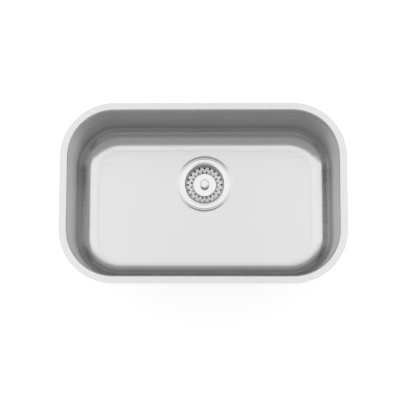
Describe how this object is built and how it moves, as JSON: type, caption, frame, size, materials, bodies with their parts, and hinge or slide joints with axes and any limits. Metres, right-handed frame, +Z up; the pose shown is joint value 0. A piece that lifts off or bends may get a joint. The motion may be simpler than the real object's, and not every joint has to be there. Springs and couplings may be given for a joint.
{
  "type": "undermount kitchen sink",
  "caption": "Stainless steel undermount kitchen sink: deep rounded rectangular bowl, recessed drain, lift-out strainer basket with stopper, and a tailpiece.",
  "frame": {"origin": "middle of the bowl's opening, in the plane of the rim's top face that lies under the worktop", "axes": "+X along the bowl, +Y to its rear, where the drain is set back, +Z up out of the bowl"},
  "size_m": [0.592, 0.374, 0.357],
  "materials": {
    "bowl_steel": "satin brushed stainless steel, grain along the walls",
    "damping_pad": "matt sound-deadening pad",
    "strainer_steel": "polished stainless steel, turned",
    "basket_steel": "polished stainless steel",
    "knob_steel": "polished stainless steel, turned",
    "stem_steel": "plain machined stainless steel",
    "spring_steel": "bright spring wire",
    "cast_brass": "machined brass",
    "chromed_tube": "chromium-plated brass tube",
    "black_rubber": "moulded rubber",
    "grey_seal": "soft foam seal",
    "fibre": "pressed fibre board",
    "white_nylon": "moulded nylon"
  },
  "bodies": {
    "sink": {"bowl": "bowl_steel", "floor_pad_left": "damping_pad", "floor_pad_right": "damping_pad", "wall_pad_left": "damping_pad", "wall_pad_right": "damping_pad", "wall_pad_front": "damping_pad", "wall_pad_rear": "damping_pad", "strainer_body": "strainer_steel", "flange_seal": "grey_seal", "sink_gasket": "black_rubber", "friction_ring": "fibre", "lock_nut": "cast_brass", "outlet_spud": "cast_brass", "stem_guide": "white_nylon", "detent_clip": "spring_steel", "tailpiece_washer": "black_rubber", "tailpiece": "chromed_tube", "coupling_nut": "cast_brass"},
    "stem": {"stem": "stem_steel", "knob": "knob_steel", "stopper_top_plate": "stem_steel", "stopper_disc": "black_rubber", "stopper_bottom_plate": "stem_steel", "stem_nut": "stem_steel"},
    "basket": {"basket_shell": "basket_steel", "basket_bush": "white_nylon"}
  },
  "joints": [
    {"name": "basket_lift", "type": "slide", "parent": "sink", "child": "stem", "axis": [0, 0, 1], "range_m": [-0.008, 0.07]},
    {"name": "basket_turn", "type": "hinge", "parent": "stem", "child": "basket", "pos_m": [0, 0.046, -0.2072], "axis": [0, 0, 1], "continuous": true}
  ]
}
